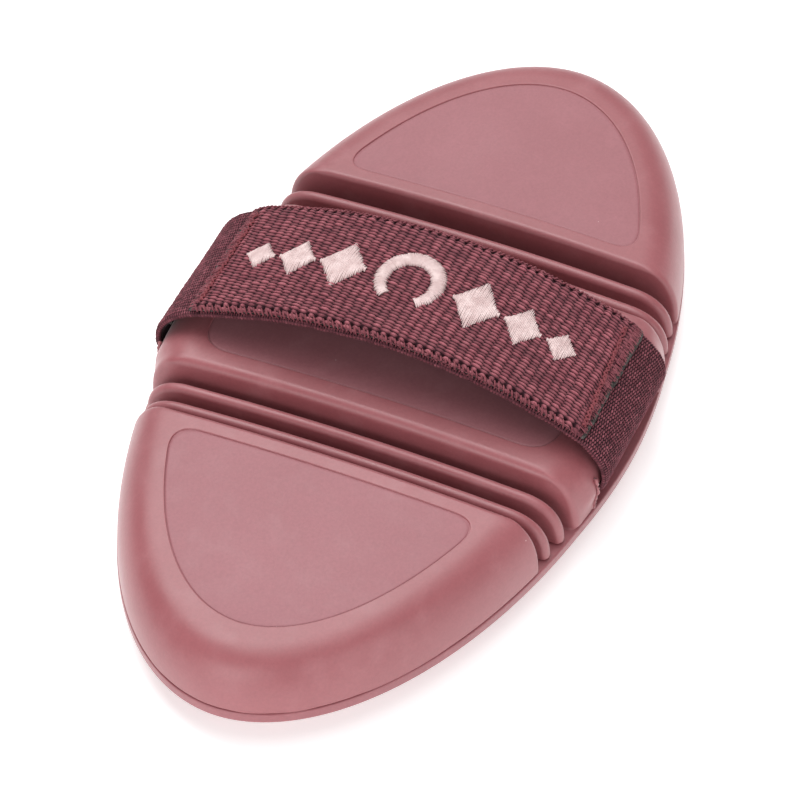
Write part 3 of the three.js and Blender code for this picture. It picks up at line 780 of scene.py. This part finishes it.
# --- strap line
def catmull_rom(points, count):
    """Centripetal curve through the points, sampled evenly along its length."""
    points = np.vstack([2 * points[0] - points[1], points, 2 * points[-1] - points[-2]])
    samples = []
    for k in range(len(points) - 3):
        p0, p1, p2, p3 = points[k: k + 4]
        d0, d1, d2 = (math.sqrt(np.linalg.norm(q - p)) for p, q in ((p0, p1), (p1, p2), (p2, p3)))
        m1 = ((p1 - p0) / d0 - (p2 - p0) / (d0 + d1) + (p2 - p1) / d1) * d1
        m2 = ((p2 - p1) / d1 - (p3 - p1) / (d1 + d2) + (p3 - p2) / d2) * d1
        t = np.linspace(0, 1, 60, endpoint=False)[:, None]
        samples.append(
            p1 + m1 * t + (-3 * p1 + 3 * p2 - 2 * m1 - m2) * t ** 2 + (2 * p1 - 2 * p2 + m1 + m2) * t ** 3)
    line = np.vstack([*samples, points[-2]])
    far = np.concatenate([[0], np.cumsum(np.linalg.norm(np.diff(line, axis=0), axis=1))])
    even = np.linspace(0, far[-1], count)
    return np.column_stack([np.interp(even, far, line[:, 0]), np.interp(even, far, line[:, 1])]), far[-1]


left_line = np.array(BAND_PROFILE, float) + [0, SOLE_BOTTOM]
strap_line, strap_length = catmull_rom(np.vstack([left_line[:0:-1] * [-1, 1], left_line]), 3001)
strap_place = np.linspace(-strap_length / 2, strap_length / 2, len(strap_line))
strap_tangent = np.gradient(strap_line, strap_place, axis=0)
kernel = np.ones(31) / 31
strap_tangent = np.column_stack([
    np.convolve(np.pad(strap_tangent[:, k], 15, "edge"), kernel, "valid") for k in (0, 1)])
strap_tangent /= np.linalg.norm(strap_tangent, axis=1, keepdims=True)


def strap_point(s, lift, x):
    """Point on the strap: s along it from the crown to +Y, lift out from the band's outer face."""
    s, lift, x = np.broadcast_arrays(*(np.asarray(value, float) for value in (s, lift, x)))
    y, z, ty, tz = (
        np.interp(s, strap_place, column)
        for column in (strap_line[:, 0], strap_line[:, 1], strap_tangent[:, 0], strap_tangent[:, 1]))
    return np.stack([x, y - tz * lift, z + ty * lift], -1)


def weave_height(s, x, rib, step, length, width, lean, seed):
    """Plain weave seen from outside, from 0 in the gaps to 1 on the middle of a float.

    The floats lie along s in ribs across it, rib apart, with step between two floats of one rib. Half a
    float's length is given in ribs and half its width in steps, so a long float reaches into the next rib.
    """
    s = s + 0.13 * rib * value_noise(s / (1.2 * rib), x / (1.6 * step), seed)
    x = x + 0.13 * step * value_noise(s / (1.5 * rib), x / (1.1 * step), seed + 3)
    highest = 0 * s
    for shift in (-1, 0, 1):
        row = np.floor(s / rib) + shift
        along = (s / rib - row - 0.5) / length
        wander = 0.12 * value_noise(row * 1.7, x / (4 * step), seed + 1)
        phase = x / step + 0.5 * (row % 2) + lean * along + wander
        across = (phase - np.floor(phase) - 0.5) / (width - 0.22 * along ** 2)
        uneven = 0.84 + 0.28 * value_noise(row * 3.7, np.floor(phase) * 5.3, seed + 2)
        inside = (np.abs(along) < 1) & (np.abs(across) < 1)
        float_height = np.sqrt(np.clip((1 - along ** 2) * (1 - across ** 2), 0, 1)) ** 0.8 * uneven
        highest = np.maximum(highest, np.where(inside, float_height, 0))
    return highest


def end_drift(s, x):
    """Uneven ends: how far a point near an end of the webbing strays along the strap."""
    return smoothstep((np.abs(s + (WEBBING_RIGHT - WEBBING_LEFT) / 2) - 40) / 5) * (
        0.3 * value_noise(x / 5, np.sign(s) * 3.5, 67) - 0.35 * np.sign(s) * (1 - (x / STRAP_HALF) ** 2))


def selvedge(s, side):
    """How far the weft loops stand out of a ribbon's edge."""
    loops = np.abs(np.sin(math.pi * (s / 0.75 + 0.3 * value_noise(s / 2, side, 37))))
    return 0.14 + 0.26 * loops * (0.7 + 0.5 * value_noise(s / 0.9, side, 38))


def add_ribbon(shape, s, half, top, bottom, columns, under, drift=lambda s, x: 0):
    """Closed ribbon: top(s, x) gives lift and weave of the outer face, bottom is the inner face's lift."""
    x_top = np.linspace(-1, 1, columns)[None] * half[:, None]
    x_low = np.linspace(1, -1, under)[None] * (half[:, None] - 0.25)
    rows = s[:, None]
    lift, weave = top(rows + 0 * x_top, x_top)
    low = np.full(x_low.shape, bottom)
    rings, marks = [strap_point(rows + drift(rows, x_top), lift, x_top)], [weave]
    for side, high_lift, low_lift in ((1, lift[:, -1], low[:, 0]), (-1, lift[:, 0], low[:, -1])):
        turn = np.linspace(0, math.pi, 7)[1:-1]
        turn = turn if side > 0 else turn[::-1]
        middle = ((high_lift + low_lift) / 2)[:, None]
        radius = ((high_lift - low_lift) / 2)[:, None]
        loops = selvedge(rows, side)
        bulge = half[:, None] + np.sin(turn)[None] * loops
        rings.append(strap_point(rows, middle + radius * np.cos(turn)[None], side * bulge))
        # Painted shade and highlight: the edge loops are coloured darker where they sink in and lighter where
        # they stand out.
        marks.append(np.clip(0.35 + 1.8 * (loops - 0.14) * np.sin(turn)[None] ** 2, 0, 1))
        if side > 0:
            rings.append(strap_point(rows + drift(rows, x_low), low, x_low))
            marks.append(np.full(x_low.shape, 0.5))
    shape.loft(np.concatenate(rings, 1), weave=np.concatenate(marks, 1))


# --- woven band
BAND_RIB, BAND_STEP = 0.62, 0.95


def band_top(s, x):
    weave = weave_height(x, s, BAND_STEP, BAND_RIB, 0.54, 0.42, 0.0, 31)
    edge = smoothstep((np.abs(x) - STRAP_HALF + 0.7) / 0.7)
    ripple = 0.05 * value_noise(s / 5, x / 6, 33)
    return -0.26 + 0.3 * weave - 0.25 * edge + ripple, weave


half_strap = strap_length / 2
fine = BAND_RIB / 5
left_stretch = np.arange(WEBBING_LEFT - 1.5, half_strap - 9, fine)
right_stretch = -np.arange(WEBBING_RIGHT - 1.5, half_strap - 9, fine)[::-1]
band_s = np.concatenate([
    np.linspace(-half_strap, right_stretch[0], 12)[:-1], right_stretch,
    np.arange(right_stretch[-1], left_stretch[0], 0.2)[1:-1], left_stretch,
    np.linspace(left_stretch[-1], half_strap, 12)[1:],
])
band_half = STRAP_HALF - 0.2 + 0.1 * value_noise(band_s / 3, 0, 35)
band_columns = int(2 * STRAP_HALF / (BAND_STEP / 7))
shape = Shape()
add_ribbon(shape, band_s, band_half, band_top, BAND_UNDER, band_columns, 14)
band = shape.finish("woven_band", [BAND], "centre", ["strap_band"])

# Dark pile on the band's inner face: rows of small uneven loops.
pile_s = np.arange(-half_strap + 6, half_strap - 6, 0.3)
pile_x = np.linspace(-STRAP_HALF + 0.7, STRAP_HALF - 0.7, 108)
grid_s, grid_x = np.meshgrid(pile_s, pile_x, indexing="ij")
loops = np.random.RandomState(41).uniform(0, 1, grid_s.shape) ** 0.7
pile_lift = BAND_UNDER - 0.05 - (0.1 + (BAND_UNDER - PILE_UNDER) * loops)
edge_fade = smoothstep((STRAP_HALF - 0.7 - np.abs(grid_x)) / 0.6)
foot_fade = 1 - 0.9 * smoothstep((np.abs(grid_s) - 53) / 4)  # pressed flat near the feet
pile_lift = BAND_UNDER + (pile_lift - BAND_UNDER) * edge_fade * foot_fade
under = strap_point(grid_s, pile_lift, grid_x + 0.1 * np.random.RandomState(42).uniform(-1, 1, grid_x.shape))
over = strap_point(grid_s[:, ::-1], BAND_UNDER + 0.12, grid_x[:, ::-1])[:, ::9]
shape = Shape()
shape.loft(np.concatenate([under, over], 1), weave=np.concatenate([1 - loops, 0 * over[..., 0]], 1))
pile = shape.finish("band_pile", [PILE], "centre")

# --- backing under the webbing
backing_s = np.linspace(-WEBBING_RIGHT - 0.8, WEBBING_LEFT + 0.45, 260)
backing_x = np.linspace(-1, 1, 90)
grid_s, grid_u = np.meshgrid(backing_s, backing_x, indexing="ij")
grid_x = grid_u * BACKING_HALF
near_end = smoothstep((np.abs(grid_s + (WEBBING_RIGHT - WEBBING_LEFT) / 2) - 43) / 2.5)
grid_s = grid_s + near_end * 0.38 * value_noise(grid_x / 1.3, grid_s * 0 + 2, 51)
rough = 0.07 * value_noise(grid_s * 2.2, grid_x * 2.2, 52)
top = strap_point(grid_s, BACKING_HIGH + rough + 0.12 * near_end, grid_x)
low = strap_point(grid_s[:, ::-1], BACKING_LOW + rough[:, ::-1], grid_x[:, ::-1])
shape = Shape()
marks = 0.5 + 0.5 * value_noise(grid_s * 3, grid_x * 3, 53)
shape.loft(np.concatenate([top, low], 1), weave=np.concatenate([marks, marks[:, ::-1]], 1))
backing = shape.finish("embroidery_backing", [BACKING], "centre", ["strap_backing"])

# --- webbing panel
WEB_RIB, WEB_STEP = 2.0, 0.87


def seam_line(end, outward, x):
    """Where the seam near one end of the webbing runs, as distance along the strap."""
    return end - outward * (SEAM_IN + (SEAM_SLANT * x if outward < 0 else 0))


def webbing_surface(s, x):
    """Lift of the webbing's outer face without its weave."""
    edge = np.abs(x)
    lift = WEBBING_HIGH - 0.22 - WEBBING_EDGE_DROP * smoothstep((edge - 14.6) / 2.4) ** 1.5
    for end, outward in WEBBING_ENDS:
        past = outward * (s - seam_line(end, outward, x))
        lift = lift - 0.4 * np.exp(-(past / 0.8) ** 2) - 0.4 * smoothstep(past / SEAM_IN)
    return lift + 0.05 * value_noise(s / 7, x / 6, 61)


def needle_holes(s, x):
    phase = s / EDGE_PITCH - np.round(s / EDGE_PITCH)
    away = np.hypot(phase * EDGE_PITCH, np.abs(x) - EDGE_LINE)
    return np.exp(-(away / 0.42) ** 2)


def webbing_top(s, x):
    weave = weave_height(s, x, WEB_RIB, WEB_STEP, 0.57, 0.47, -0.12, 63)
    frayed = smoothstep(np.maximum(s - (WEBBING_LEFT - 2.6), -(WEBBING_RIGHT - 2.6) - s) / 2.0)
    tangle = 0.5 + 0.5 * value_noise(s * 1.9, x * 2.7, 64)
    weave = weave * (1 - 0.75 * frayed) + 0.6 * frayed * tangle
    holes = needle_holes(s, x)
    fibres = 0.035 * value_noise(s * 4.5, x * 7.5, 66)
    lift = webbing_surface(s, x) + 0.6 * (weave - 0.65) - 0.8 * holes + fibres
    # Painted shade: the weave mark is cut down in the needle holes, so the material colours them darker.
    return lift, np.clip(weave * (1 - 1.3 * holes), 0, 1)


web_s = np.arange(-WEBBING_RIGHT, WEBBING_LEFT, WEB_RIB / 11)
web_half = STRAP_HALF - 0.3 - 0.12 * np.cos(2 * math.pi * web_s / EDGE_PITCH)  # drawn in by every stitch
web_half += 0.14 * value_noise(web_s / 3, 1, 65)
web_columns = int(2 * STRAP_HALF / (WEB_STEP / 8))
shape = Shape()
add_ribbon(shape, web_s, web_half, webbing_top, WEBBING_LOW, web_columns, 12, end_drift)
webbing = shape.finish("webbing_panel", [WEBBING], "centre", ["strap_webbing"])

# --- threads
chance = random.Random(7)


def sunk_arc(start, end, high):
    """Thread from one needle hole to the next: places (s, x) joined by an arch of lift."""
    t = np.linspace(0, 1, 9)
    s = start[0] + (end[0] - start[0]) * t
    x = start[1] + (end[1] - start[1]) * t
    lift = webbing_surface(s, x) + SEAM_DIP + (high - SEAM_DIP) * np.sin(math.pi * t) ** 0.6
    return strap_point(s, lift, x)


for place, side in (("rear", 1), ("front", -1)):
    shape = Shape()
    first = math.ceil((-WEBBING_RIGHT + 0.3) / EDGE_PITCH)
    last = math.floor((WEBBING_LEFT - 0.6) / EDGE_PITCH)
    for k in range(first, last):
        for start, across, size in EDGE_STRANDS:
            t = np.linspace(0, 1, 7)
            s = k * EDGE_PITCH + start - 0.75 * t ** 0.8 + chance.uniform(-0.12, 0.12)
            x = across + (STRAP_HALF - across) * np.sin(math.pi / 2 * t) + chance.uniform(-0.08, 0.08)
            arch = 0.36 * np.sin(math.pi * (0.12 + 0.62 * t))
            lift = webbing_surface(s, x) - 0.2 + arch - 0.75 * t ** 4
            swell = chance.uniform(0.85, 1.15) * (0.7 + 0.4 * np.sin(math.pi * t))
            shape.tube(strap_point(s, np.maximum(lift, 0.25), side * x), size * swell, 8)
    shape.finish(f"edge_thread_{place}", [EDGE_THREAD], "centre", [f"edge_stitch_{place}"])

for place, (end, outward) in zip(("left", "right"), WEBBING_ENDS):
    shape = Shape()
    steps = round(2 * SEAM_HALF / (SEAM_PITCH / 2))
    for phase in (0, 1):
        places = []
        for k in range(steps + 1):
            x = -SEAM_HALF + k * SEAM_PITCH / 2
            s = seam_line(end, outward, x) + SEAM_SWING[(k + phase) % 2] + chance.uniform(-0.14, 0.14)
            places.append((s, x + chance.uniform(-0.15, 0.15)))
        for here, there in zip(places, places[1:]):
            if chance.random() > 0.1:
                high = 0.34 + chance.uniform(-0.12, 0.14)
                shape.tube(sunk_arc(here, there, high), SEAM_RADIUS * chance.uniform(0.8, 1.25), 7, 0.9)
    shape.finish(f"seam_thread_{place}", [SEAM_THREAD], "centre", [f"seam_stitch_{place}"])

# Cut yarn ends at both ends of the webbing.
shape = Shape()
for end, outward in WEBBING_ENDS:
    for k in range(150):
        x = chance.uniform(-16.3, 16.3)
        reach = chance.uniform(0.15, 0.75)
        t = np.linspace(0, 1, 5)
        s = end + outward * (-1.3 + (1.3 + reach) * t)
        lift = webbing_surface(s, np.full(5, x)) + chance.uniform(-0.35, 0.1)
        lift -= 0.5 * t ** 2 * chance.uniform(0.2, 1)
        drift = x + chance.uniform(-0.5, 0.5) * t ** 2
        thick = 0.1 * (1 - 0.4 * t) * chance.uniform(0.8, 1.5)
        shape.tube(strap_point(s, np.maximum(lift, 0.35), drift), thick, 5)
fray = shape.finish("webbing_cut_ends", [WEBBING], "centre")

# A few pale hairs caught in the pile near the feet.
shape = Shape()
for side in (-1, 1):
    for _ in range(14):
        s = side * chance.uniform(half_strap - 32, half_strap - 20)
        x = chance.uniform(-15.5, -6) if side > 0 else chance.uniform(-15.5, 14)
        t = np.linspace(0, 1, 6)
        bend = chance.uniform(-0.8, 0.8)
        lift = PILE_UNDER + 0.2 - (0.35 + 0.5 * chance.random()) * np.sin(math.pi * t)
        shape.tube(strap_point(s + bend * t, lift, x + chance.uniform(0.6, 1.8) * t), 0.035, 4)
hairs = shape.finish("caught_hairs", [FUZZ], "centre")

# --- satin embroidery
STITCH_PITCH = 0.3
SATIN_HEIGHT, CORE_HEIGHT = 0.62, 0.5
# Cross-section of the padding under the satin: place across it and height, as fractions.
CORE_PROFILE = (
    (-0.93, 0.0), (-0.8, 0.55), (-0.4, 0.93), (0, 1.0), (0.4, 0.93), (0.8, 0.55), (0.93, 0.0), (0, -0.3))
SHOE_RADIUS, SHOE_WIDTH = 5.9, 3.6
# Lozenges on either side of the horseshoe: distance from it, length along the strap, width across it.
LOZENGES = {"inner": (14.8, 10.0, 14.0), "middle": (25.2, 8.0, 11.0), "outer": (34.0, 6.5, 8.0)}


def satin(shape, s, x, across_s, across_x, width):
    """Rows of satin stitches along a path, each lying across it over a padded core."""
    for k in range(len(s)):
        reach = width[k] / 2 + chance.uniform(-0.12, 0.2)
        lean = chance.uniform(-0.1, 0.1)
        t = np.linspace(-1, 1, 9)
        ps = s[k] + across_s[k] * reach * t + lean * across_x[k] * t
        px = x[k] + across_x[k] * reach * t - lean * across_s[k] * t
        arch = (1 - np.abs(t) ** 3.2) * SATIN_HEIGHT * min(1, 0.45 + width[k] / 6) + chance.uniform(0, 0.06)
        lift = webbing_surface(ps, px) - 0.08 + arch
        shape.tube(strap_point(ps, lift, px), 0.2 * (1 - 0.35 * np.abs(t) ** 4), 6, 0.8)


def padded_core(shape, s, x, across_s, across_x, width):
    rings = []
    for t, rise in CORE_PROFILE:
        ps, px = s + across_s * t * width / 2, x + across_x * t * width / 2
        swell = CORE_HEIGHT * np.minimum(1, 0.45 + width / 6)
        rings.append(strap_point(ps, webbing_surface(ps, px) - 0.05 + rise * swell, px))
    shape.loft(np.swapaxes(np.array(rings), 0, 1), weave=np.full((len(s), len(CORE_PROFILE)), 0.55))


def embroider(name, node, s, x, width):
    ds, dx = np.gradient(s), np.gradient(x)
    size = np.hypot(ds, dx)
    across_s, across_x = -dx / size, ds / size
    shape = Shape()
    padded_core(shape, s, x, across_s, across_x, width)
    satin(shape, s, x, across_s, across_x, width)
    shape.finish(name, [SATIN], "centre", [node])


shoe_stitches = int(1.6 * math.pi * SHOE_RADIUS * 1.06 / STITCH_PITCH)
turn = np.linspace(-0.8 * math.pi, 0.8 * math.pi, shoe_stitches)
embroider("satin_horseshoe", "embroidery_horseshoe", SHOE_RADIUS * np.sin(turn),
          1.12 * SHOE_RADIUS * np.cos(turn), SHOE_WIDTH * (0.82 + 0.18 * np.cos(turn)))
for place, (distance, length, width) in LOZENGES.items():
    for hand, side in (("left", 1), ("right", -1)):
        t = np.linspace(-1, 1, int(length / STITCH_PITCH) + 1)
        embroider(f"satin_{hand}_{place}", f"embroidery_{hand}_{place}", side * distance + t * length / 2,
                  0 * t, width * np.maximum(1 - np.abs(t), 0.07))

for hand in ("left", "right"):
    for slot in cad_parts[f"hook_tape_{hand}"].material_slots:
        slot.material = HOOK


# --- studio
FLOOR_HALF = 6
FLOOR_GLOW = 0.42  # the floor is a light table, which fills the low sides
WORLD_LIGHT = 0.3


def add_floor():
    mesh = bpy.data.meshes.new("floor")
    a = FLOOR_HALF
    mesh.from_pydata([(-a, -a, 0), (a, -a, 0), (a, a, 0), (-a, a, 0)], [], [(0, 1, 2, 3)])
    material, nodes, links, shader = material_nodes("floor_paper")
    place = nodes.new("ShaderNodeTexCoord").outputs["Object"]
    tone = add_noise(nodes, links, place, 3, 2)
    paper = add_mix(nodes, links, tone, (0.92, 0.92, 0.92), (0.95, 0.95, 0.95))
    links.new(paper, shader.inputs["Base Color"])
    shader.inputs["Roughness"].default_value = 0.9
    shader.inputs["Emission Color"].default_value = (1, 1, 1, 1)
    shader.inputs["Emission Strength"].default_value = FLOOR_GLOW
    mesh.materials.append(material)
    floor = add_object("floor", mesh)
    floor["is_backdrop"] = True


def add_light(name, place, size, power):
    """Round soft light aimed at the origin; size in metres, power in watts."""
    data = bpy.data.lights.new(name, "AREA")
    data.shape, data.size, data.energy = "DISK", size, power
    add_aimed(name, data, place, -Vector(place))


add_floor()
add_light("key", (0.58, 0.55, 1.3), 1.3, 17)
add_light("top", (0.1, -0.1, 1.6), 1.4, 8)
add_light("fill", (-0.5, -1.2, 0.5), 1.0, 4.5)
add_light("front", (-1.4, 0.1, 0.5), 1.0, 9)
world = bpy.data.worlds.new("studio")
world.use_nodes = True
background = world.node_tree.nodes["Background"]
background.inputs["Color"].default_value = (1, 1, 1, 1)
background.inputs["Strength"].default_value = WORLD_LIGHT
bpy.context.scene.world = world
bpy.context.scene.view_settings.view_transform = "Standard"

low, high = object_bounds()
